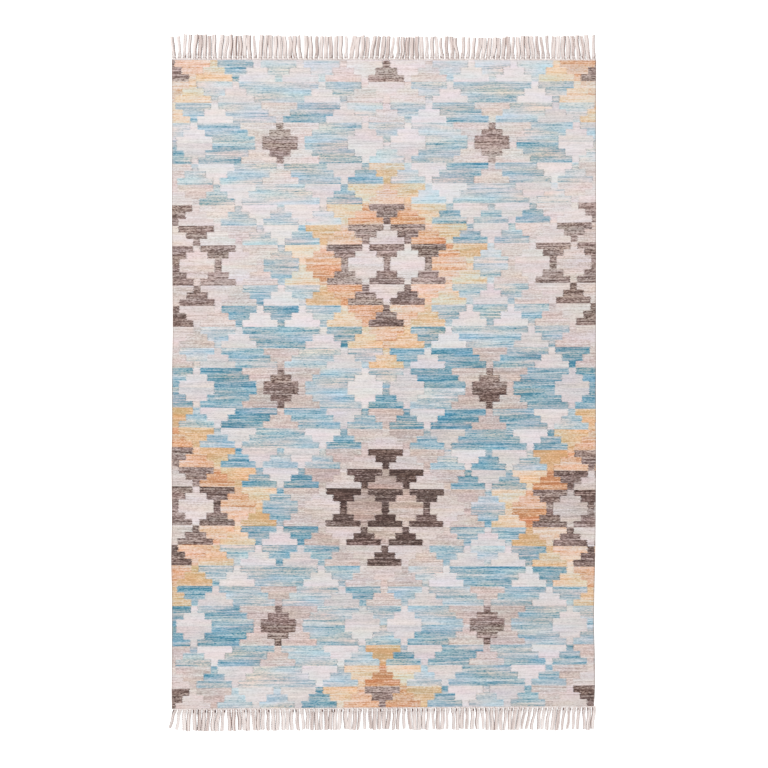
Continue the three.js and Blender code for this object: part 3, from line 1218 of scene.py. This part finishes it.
@dataclass
class Fringe:
    """One fringe: warps that leave the cloth's end, are knotted in threes and lie on the floor.

    Its clumps are neighbouring locks that lie together: how many they are, and how far their ends
    lie to +X in millimetres. Its reaches say how far from the strip the ends lie.
    """

    name: str
    node: str
    side: int
    widest: float
    tone: float
    # How many locks have painted shade at the knot, how deep it and the painted shadow line are, and how much
    # both weaken towards +X
    shaded: float
    shade_depth: float
    shadow_line_depth: float
    shade_fade: float
    root_shift: float
    clumps: tuple[tuple[int, float], ...]
    reaches: Stations
    loom: Loom = LOOM
    strip_edge: float = 4.3 * MM
    clearance: float = 1.1 * MM
    clump_gap: float = 5.6 * MM
    clump_gap_stray: float = 1.2 * MM
    clump_gap_least: float = 2.5 * MM
    bend_together: float = 1.0 * MM
    bend_alone: float = 0.35 * MM
    length_stray: float = 1.8 * MM
    yarns_per_lock: int = 3
    yarn_share: float = 0.185
    yarn_outset: float = 0.2 * MM
    yarn_length_stray: float = 1.4 * MM
    yarn_stray: float = 0.06
    pinches: tuple[float, ...] = (0.8, 0.75, 0.7, 0.85, 1.0)
    pinch_stations: tuple[int, ...] = (0, 2, 3, 4, 5)
    off_floor: float = 1.06
    ply_depth: float = 0.14
    ply_turn: float = 13 * MM
    yarn_sides: int = 8
    yarn_rings: int = 34
    yarn_sway: float = 0.5 * MM
    yarn_wave: float = 16 * MM
    lock_sway: float = 1.1 * MM
    lock_wave: float = 13 * MM
    sway_start: float = 20 * MM
    phase: float = 3.0
    wrap_turns: float = 1.8
    wrap_rings: int = 22
    wrap_sides: int = 6
    wrap_radius: float = 1.3 * MM
    wrap_out: float = 1.6 * MM
    wrap_run: float = 4.2 * MM
    wrap_width: float = 4.2 * MM
    wrap_stray: float = 0.4 * MM
    wrap_height: float = 3.6 * MM
    wrap_rise: float = 2.2 * MM
    wrap_start: float = 0.9
    wrap_start_stray: float = 0.2
    wrap_taper: float = 4.0
    wrap_tip: float = 0.55
    wrap_slope: float = 2.0
    wrap_edge: float = 0.4
    # Painted shade on the flanks of the knot's turns
    wrap_flank_shade: float = 1.0
    lock_tone_stray: float = 0.06
    yarn_tone_stray: float = 0.15
    # Painted shade on the yarns' flanks and undersides
    flank_shade: float = 1.1
    flank_shade_stray: float = 0.5
    flank_least: float = 0.6
    flank_more: float = 0.4
    dark_side_lean: float = 0.5
    shade_mean: float = 0.75
    shade_stray: float = 0.35
    shade_place: float = 4 * MM
    shade_reach: float = 3.2 * MM
    streaked: float = 0.12
    streak_depth: float = 0.26
    # A painted shadow line along the flank that faces the next lock
    shadow_line_slope: float = 1.3
    shadow_line_edge: float = 0.1
    shadow_line_reach: float = 20 * MM
    shadow_line_far: float = 0.4
    shadow_line_stray: float = 0.7
    heading_places: tuple[float, ...] = (-3.2 * MM, -1.9 * MM)
    heading_radius: float = 0.75 * MM
    heading_height: float = 2.7 * MM
    heading_wave: float = 0.5 * MM
    heading_run: int = 5
    heading_tone: float = 0.24
    heading_tone_stray: float = 0.26
    points: list = field(default_factory=list)
    faces: list = field(default_factory=list)
    places: list = field(default_factory=list)
    tones: list = field(default_factory=list)

    @property
    def lock_count(self) -> int:
        """How many locks the fringe has."""
        return sum(size for size, _ in self.clumps)

    @property
    def pitch(self) -> float:
        """The distance between neighbouring roots."""
        return self.loom.width / self.lock_count

    def locks(self) -> list[Lock]:
        """Lays the fringe out in its clumps.

        Returns:
            Every lock, from left to right.
        """
        made: list[Lock] = []
        places, reaches = (self.reaches.column(name) * MM for name in ("across", "reach"))
        edge = -math.inf
        for number, (size, lean) in enumerate(self.clumps):
            start = len(made) * self.pitch
            gap = self.clump_gap + self.clump_gap_stray * stray(number, self.side + Kind.GAP)
            loose_pitch = (size * self.pitch - gap + self.clearance) / size
            tip_pitch = min(loose_pitch, self.widest + self.clearance)
            half = (size * tip_pitch - self.clearance) / 2
            leaning = start + size * self.pitch / 2 + lean * MM
            middle = max(leaning, edge + self.clump_gap_least + half)
            edge = middle + half
            bend = self.bend_together * stray(number, self.side + Kind.BEND)
            for i in range(size):
                root = start + (i + 0.5) * self.pitch
                root += self.root_shift * (1 - root / self.loom.width)
                item = len(made)
                reach = float(np.interp(root, places, reaches))
                made.append(
                    Lock(
                        root=root,
                        tip=middle + (i + 0.5 - size / 2) * tip_pitch,
                        reach=reach + self.length_stray * stray(item, self.side + Kind.LENGTH),
                        width=tip_pitch - self.clearance,
                        bend=bend + self.bend_alone * stray(item, self.side + Kind.OWN_BEND),
                    )
                )
        return made

    def to_frame(
        self, root: np.ndarray | float, across: np.ndarray, out: np.ndarray | float, height: np.ndarray
    ) -> np.ndarray:
        """Points of the fringe in the frame of the whole rug.

        Args:
            root: where they leave the cloth's end, from its left edge.
            across: distances from the cloth's left edge.
            out: distances out from the strip.
            height: heights above the floor.

        Returns:
            One row of X, Y and Z for each point.
        """
        x = across - self.loom.width / 2 + self.loom.centre.x
        y = self.loom.end_line(self.side, root) + self.side * (self.strip_edge + out)
        return np.column_stack((x, y, height))

    def add_tube(
        self,
        line: np.ndarray,
        radii: np.ndarray,
        sides: int,
        turn: float = 0.0,
        phase: float = 0.0,
        tone: np.ndarray | float = 0.5,
        flank_shade: float = 0.3,
        outward: float = 0.0,
        shadow_line: np.ndarray | float = 0.0,
    ) -> None:
        """Adds a closed tube along a line, with a two-ply section that turns as it goes.

        Args:
            line: the tube's middle, one row for each ring.
            radii: the radius at each ring.
            sides: how many sides the tube has.
            turn: the length of one full turn of the plies, or 0 for a round section.
            phase: where the plies start, in radians.
            tone: how dark the yarn is, from 0 to 1, for the whole yarn or for each ring.
            flank_shade: how much painted shade darkens its flanks and underside.
            outward: which flank faces the next lock, 1 or -1, or 0 for neither.
            shadow_line: how dark a painted shadow line along that flank is, for the whole yarn or for each
                ring.
        """
        rings = len(line)
        forward = np.gradient(line, axis=0)
        forward /= np.linalg.norm(forward, axis=1)[:, None]
        level = np.cross(forward, (0.0, 0.0, 1.0))
        level /= np.linalg.norm(level, axis=1)[:, None]
        upward = np.cross(level, forward)
        run = np.concatenate(([0.0], np.cumsum(np.linalg.norm(np.diff(line, axis=0), axis=1))))
        angles = -math.pi / 2 + 2 * math.pi * np.arange(sides) / sides
        around = np.broadcast_to(angles, (rings, sides))
        twist = 2 * math.pi * run / turn + phase if turn else np.zeros(rings)
        swell = 1 + (self.ply_depth if turn else 0.0) * np.cos(2 * (around - twist[:, None]))
        reach = radii[:, None] * swell
        ring_points = (
            line[:, None, :]
            + (reach * np.cos(around))[..., None] * level[:, None, :]
            + (reach * np.sin(around))[..., None] * upward[:, None, :]
        )
        first = sum(len(block) for block in self.points)
        self.points.append(ring_points.reshape(-1, 3))
        index = first + np.arange(rings * sides).reshape(rings, sides)
        near, far = index[:-1], index[1:]
        quads = np.stack((near, np.roll(near, -1, 1), np.roll(far, -1, 1), far), axis=-1).reshape(-1, 4)
        self.faces.extend([*quads.tolist(), index[0][::-1].tolist(), index[-1].tolist()])
        share = np.broadcast_to(np.arange(sides) / sides, (rings, sides))
        length = np.broadcast_to(run[:, None], (rings, sides))
        # Painted shade: the flanks and the underside are darker, most on the flank that faces the next lock
        facing = outward * np.cos(angles)
        flank = (1 - np.sin(angles)) * (self.flank_least + self.flank_more * np.clip(facing, 0, 1))
        # Painted shadow line along the flank that faces the next lock
        lined = np.clip(self.shadow_line_slope * facing + self.shadow_line_edge, 0, 1)
        dark = flank_shade * flank + np.broadcast_to(shadow_line, rings)[:, None] * lined
        self.places.append(np.stack((share, length, dark), axis=-1).reshape(-1, 3))
        self.tones.append(np.repeat(np.broadcast_to(tone, rings), sides))

    def add_lock(self, lock: Lock, item: int) -> None:
        """Adds the yarns and the knot of one lock.

        Args:
            lock: the lock.
            item: its number from the left.
        """
        side = self.side
        lock_tone = self.tone + self.lock_tone_stray * stray(item, side + Kind.TONE)
        dark_side = side * math.copysign(1.0, stray(item, Kind.DARK_SIDE) + self.dark_side_lean)
        is_shaded = chance(item, side + Kind.SHADED) < self.shaded
        # The painted root shade and shadow line weaken towards +X
        shade_fade = 1 - self.shade_fade * lock.root / self.loom.width
        uneven_shade = self.shade_mean + self.shade_stray * stray(item, side + Kind.SHADE)
        shade = shade_fade * self.shade_depth * is_shaded * uneven_shade
        shadow_line_depth = self.shadow_line_depth * shade_fade * (1 + self.shadow_line_stray * stray(item, side + Kind.SHADOW_LINE))
        for number in range(self.yarns_per_lock):
            beside = number - (self.yarns_per_lock - 1) / 2
            seed = item * self.yarns_per_lock + number
            reach = lock.reach + self.yarn_length_stray * stray(seed, Kind.YARN_LENGTH)
            radius = self.yarn_share * lock.width
            body = lock.width / 2 + self.yarn_outset - radius
            rest = self.off_floor * radius * (1 + self.ply_depth)
            knot, along = KNOT_COURSE.column, BODY_COURSE.column
            stations = np.concatenate((knot("out") * MM, along("reach") * reach))
            spread = np.concatenate((knot("spread") * self.pitch, along("spread") * body))
            heights = np.concatenate((knot("height") * MM, np.full(len(BODY_COURSE.rows), rest)))
            lift = np.concatenate((knot("lift"), along("lift"))) * MM * (1.0 - abs(beside))
            out = np.linspace(stations[0], reach, self.yarn_rings)
            own, shared = self.phase * stray(seed, Kind.YARN_SWAY), self.phase * stray(item, Kind.LOCK_SWAY)
            bend = self.yarn_sway * np.sin(out / self.yarn_wave + own)
            bend += self.lock_sway * np.sin(out / self.lock_wave + shared)
            sway = bend * np.clip(out / self.sway_start, 0, 1)
            across = lock.across(out) + beside * self.eased(out, stations, spread) + sway
            radii = np.full(self.yarn_rings, radius * (1 + self.yarn_stray * stray(seed, Kind.RADIUS)))
            radii *= np.interp(out, stations[list(self.pinch_stations)], self.pinches)
            is_streak = chance(seed, Kind.STREAK) < self.streaked
            # Some yarns are darker streaks of their own, and on shaded locks painted shade from the knot
            # darkens the outer yarn on the dark side near its root
            at_root = np.exp(-(((out - self.shade_place) / self.shade_reach) ** 2))
            dark = self.streak_depth * is_streak + shade * at_root * max(0.0, beside * dark_side)
            # The painted shadow line beside the next lock is strongest near the root
            lined = self.shadow_line_far + (1 - self.shadow_line_far) * np.exp(-out / self.shadow_line_reach)
            self.add_tube(
                self.to_frame(lock.root, across, out, self.eased(out, stations, heights + lift)),
                radii,
                self.yarn_sides,
                turn=self.ply_turn,
                phase=math.pi * stray(seed, Kind.PHASE),
                tone=lock_tone + self.yarn_tone_stray * stray(seed, Kind.YARN_TONE) + dark,
                flank_shade=self.flank_shade + self.flank_shade_stray * stray(seed, Kind.FLANK_SHADE),
                outward=side * beside,
                shadow_line=lined * max(0.0, beside * side) * shadow_line_depth,
            )
        self.add_wrap(lock, item, lock_tone, shade * dark_side)

    @staticmethod
    def eased(places: np.ndarray, stations: np.ndarray, values: np.ndarray) -> np.ndarray:
        """Values between stations, with a smooth turn at each station.

        Args:
            places: where the values are wanted.
            stations: the stations' own places, in rising order.
            values: the value at each station.

        Returns:
            One value for each place.
        """
        index = np.clip(np.searchsorted(stations, places, side="right") - 1, 0, len(stations) - 2)
        share = np.clip((places - stations[index]) / (stations[index + 1] - stations[index]), 0, 1)
        share = share * share * (3 - 2 * share)
        return values[index] + share * (values[index + 1] - values[index])

    def add_wrap(self, lock: Lock, item: int, tone: float, shade: float) -> None:
        """Adds the turns of the knot that gathers a lock.

        Args:
            lock: the lock.
            item: its number from the left.
            tone: how dark the knot is, from 0 to 1.
            shade: how much darker its +X flank is, or its -X flank if below 0.
        """
        share = np.linspace(0, 1, self.wrap_rings)
        start = math.pi * (self.wrap_start + self.wrap_start_stray * stray(item, Kind.WRAP_START))
        turn = 2 * math.pi * self.wrap_turns * share + start
        out = self.wrap_out + self.wrap_run * share
        wide = self.wrap_width + self.wrap_stray * stray(item, Kind.WRAP_WIDTH)
        across = lock.across(out) + wide * np.cos(turn)
        height = self.wrap_height + self.wrap_rise * np.sin(turn)
        ends = np.minimum(share, 1 - share)
        radii = self.wrap_radius * np.clip(self.wrap_taper * ends + self.wrap_tip, 0, 1)
        slope = self.wrap_slope * np.cos(turn) * math.copysign(1.0, shade)
        tone = tone + abs(shade) * np.clip(slope - self.wrap_edge, 0, 1)
        line = self.to_frame(lock.root, across, out, height)
        self.add_tube(line, radii, self.wrap_sides, tone=tone, flank_shade=self.wrap_flank_shade)

    def add_heading(self) -> None:
        """Adds the plain picks that close the cloth's end, over and under the yarns' roots."""
        yarns = self.lock_count * self.yarns_per_lock
        share = np.linspace(0, 1, 2 * yarns + 1)
        across = self.heading_radius + share * (self.loom.width - 2 * self.heading_radius)
        radii = np.full(len(across), self.heading_radius)
        for number, out in enumerate(self.heading_places):
            wave = np.cos(math.pi * (yarns * share + number))
            height = self.heading_height + self.heading_wave * wave
            runs = [stray(ring // self.heading_run, number + Kind.HEADING) for ring in range(len(across))]
            tone = self.heading_tone + self.heading_tone_stray * np.array(runs)
            line = self.to_frame(across, across, out, height)
            self.add_tube(line, radii, self.wrap_sides, tone=tone)

    def build(self, material: bpy.types.Material) -> bpy.types.Object:
        """Makes the fringe as one joined mesh.

        Args:
            material: the yarn's material.

        Returns:
            The fringe's object, in place.
        """
        self.add_heading()
        for item, lock in enumerate(self.locks()):
            self.add_lock(lock, item)
        mesh = bpy.data.meshes.new(self.name)
        mesh.from_pydata(np.concatenate(self.points).tolist(), [], self.faces)
        bm = bmesh.new()
        bm.from_mesh(mesh)
        bmesh.ops.recalc_face_normals(bm, faces=bm.faces)
        bm.to_mesh(mesh)
        bm.free()
        place = mesh.attributes.new("yarn_place", "FLOAT_VECTOR", "POINT")
        place.data.foreach_set("vector", np.concatenate(self.places).astype(np.float32).ravel())
        tone = mesh.attributes.new("yarn_tone", "FLOAT", "POINT")
        tone.data.foreach_set("value", np.concatenate(self.tones).astype(np.float32))
        mesh.materials.append(material)
        mesh.shade_smooth()
        return link(self.name, mesh)


FAR_FRINGE = Fringe(
    name="fringe_far_yarns",
    node="fringe_far_end",
    side=1,
    widest=11.5 * MM,
    tone=0.24,
    shaded=0.35,
    shade_depth=0.6,
    shadow_line_depth=1.5,
    shade_fade=0.0,
    root_shift=0.0,
    clumps=(
        (1, -6), (1, -1), (1, 1.5), (1, 1.7), (5, 1), (7, 1.5), (1, -4), (6, 0), (2, -3), (1, -9),
        (2, 0), (2, 3), (2, -3), (2, 0), (1, 0), (4, 6), (2, 8), (2, 8), (1, 1.5), (1, 6.5), (5, -2),
        (1, -1.5), (1, 0.5), (1, -3), (1, -4), (1, -2), (2, -4), (1, 4), (1, 5), (1, 6.5), (2, 7),
        (3, 6), (2, -1.5), (1, -2.5), (4, -2), (1, -4), (1, -5.5), (1, -3.5), (2, 0), (3, -4.5),
        (3, -6.5), (1, -0.5),
    ),
    reaches=Stations(
        ("across", "reach"),
        ((0, 60), (40, 66), (150, 64), (600, 62), (790, 60), (880, 58), (1010, 62), (1165, 66), (1200, 67)),
    ),
)
NEAR_FRINGE = Fringe(
    name="fringe_near_yarns",
    node="fringe_near_end",
    side=-1,
    widest=10.6 * MM,
    tone=0.2,
    shaded=0.6,
    shade_depth=1.5,
    shadow_line_depth=2.1,
    shade_fade=0.5,
    root_shift=3.0 * MM,
    clumps=(
        (1, -11.5), (1, -7), (2, -1), (4, 0), (2, -3), (1, -4), (2, 4.5), (1, 6.5), (2, 3), (3, 4),
        (1, 5), (2, 3.5), (2, 4.5), (1, 0), (1, 5.5), (1, 6), (1, 6), (2, 3.5), (1, 0), (4, -1),
        (3, 0), (1, -5), (1, 0), (2, 3), (3, -4), (1, 0), (1, -5.5), (1, 1.5), (4, 4), (1, -3.5),
        (1, 1.5), (2, 0), (1, -1), (1, 4), (2, -1), (1, -0.5), (1, 1.5), (1, 3), (1, 4), (3, 2),
        (1, -8.5), (1, -7.5), (3, -7.5), (1, -10.5), (1, -10.5), (1, -10), (1, -6.5), (1, -9.5),
        (1, -9.5), (2, -8.5), (1, -6.5), (1, -6), (1, -5), (1, -5), (1, 0), (2, -3),
    ),
    reaches=Stations(
        ("across", "reach"), ((0, 47), (22, 57), (60, 59), (450, 57), (770, 59), (1000, 61), (1200, 62))
    ),
)


@dataclass
class Studio:
    """The pale floor, the soft light and the camera straight above the rug."""

    floor_side: float = 40.0
    floor_drop: float = 0.3 * MM
    floor_tone: float = 0.98
    floor_roughness: float = 0.9
    floor_glow: float = 0.4
    sky_strength: float = 0.6
    lamp_place: tuple[float, float, float] = (-2.8, 2.2, 9.2)
    lamp_side: float = 5.0
    lamp_power: float = 530.0
    camera_height: float = 5.1
    sensor: float = 36.0
    left_edge_pixel: float = 171.6
    far_edge_pixel: float = 59.7

    def build(self) -> None:
        """Makes the whole studio."""
        self.make_floor()
        self.make_light()
        self.make_camera()

    def make_floor(self) -> None:
        """Makes the floor that the rug lies on."""
        bm = bmesh.new()
        bmesh.ops.create_grid(bm, x_segments=1, y_segments=1, size=self.floor_side / 2)
        bmesh.ops.translate(bm, verts=bm.verts, vec=(0, 0, -self.floor_drop))
        mesh = bpy.data.meshes.new("studio_floor")
        bm.to_mesh(mesh)
        bm.free()
        constants = {
            "Base Color": (self.floor_tone, self.floor_tone, self.floor_tone, 1.0),
            "Roughness": self.floor_roughness,
            "Specular IOR Level": 0.0,
            "Emission Color": PLAIN_WHITE,
            "Emission Strength": self.floor_glow,
        }
        mesh.materials.append(Graph.new_material("studio_floor", constants)[0])
        floor = link("studio_floor", mesh)

    def make_light(self) -> None:
        """Makes an even sky and one large soft lamp."""
        scene = bpy.context.scene
        scene.world = bpy.data.worlds.new("studio")
        scene.world.use_nodes = True
        sky = scene.world.node_tree.nodes["Background"]
        sky.inputs["Color"].default_value = PLAIN_WHITE
        sky.inputs["Strength"].default_value = self.sky_strength
        panel = bpy.data.lights.new("soft_lamp", "AREA")
        panel.size = self.lamp_side
        panel.energy = self.lamp_power
        lamp = link("soft_lamp", panel)
        lamp.location = self.lamp_place
        lamp.rotation_euler = (-Vector(self.lamp_place)).to_track_quat("-Z", "Y").to_euler()
        lamp.visible_camera = False
        scene.view_settings.view_transform = "Standard"

    def make_camera(self) -> None:
        """Makes the camera straight above the place that the photograph's middle shows."""
        lens = bpy.data.cameras.new("camera")
        lens.sensor_width = self.sensor
        lens.lens = self.sensor * (self.camera_height - LOOM.thickness) / (PHOTO_SIDE * PHOTO_PIXEL)
        left = LOOM.centre.x - LOOM.width / 2
        far = LOOM.centre.y + LOOM.length / 2
        x = left + (PHOTO_SIDE / 2 - self.left_edge_pixel) * PHOTO_PIXEL
        y = far - (PHOTO_SIDE / 2 - self.far_edge_pixel) * PHOTO_PIXEL
        camera = link("camera", lens)
        camera.location = (x, y, self.camera_height)
        bpy.context.scene.camera = camera


def main() -> None:
    """Builds the studio and the rug, and reports each piece."""
    logging.basicConfig(level=logging.INFO, format="%(message)s")
    Studio().build()
    cloth = WovenField().build(KilimCloth().build())
    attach(cloth, BODY)
    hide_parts("woven_field")
    LOG.info("cloth: %d faces", len(cloth.data.polygons))

    yarn = WarpYarn().build()
    for fringe in (FAR_FRINGE, NEAR_FRINGE):
        made = fringe.build(yarn)
        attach(made, BODY)
        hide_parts(fringe.node)
        LOG.info("%s: %d faces", fringe.name, len(made.data.polygons))


if __name__ == "__main__":
    main()
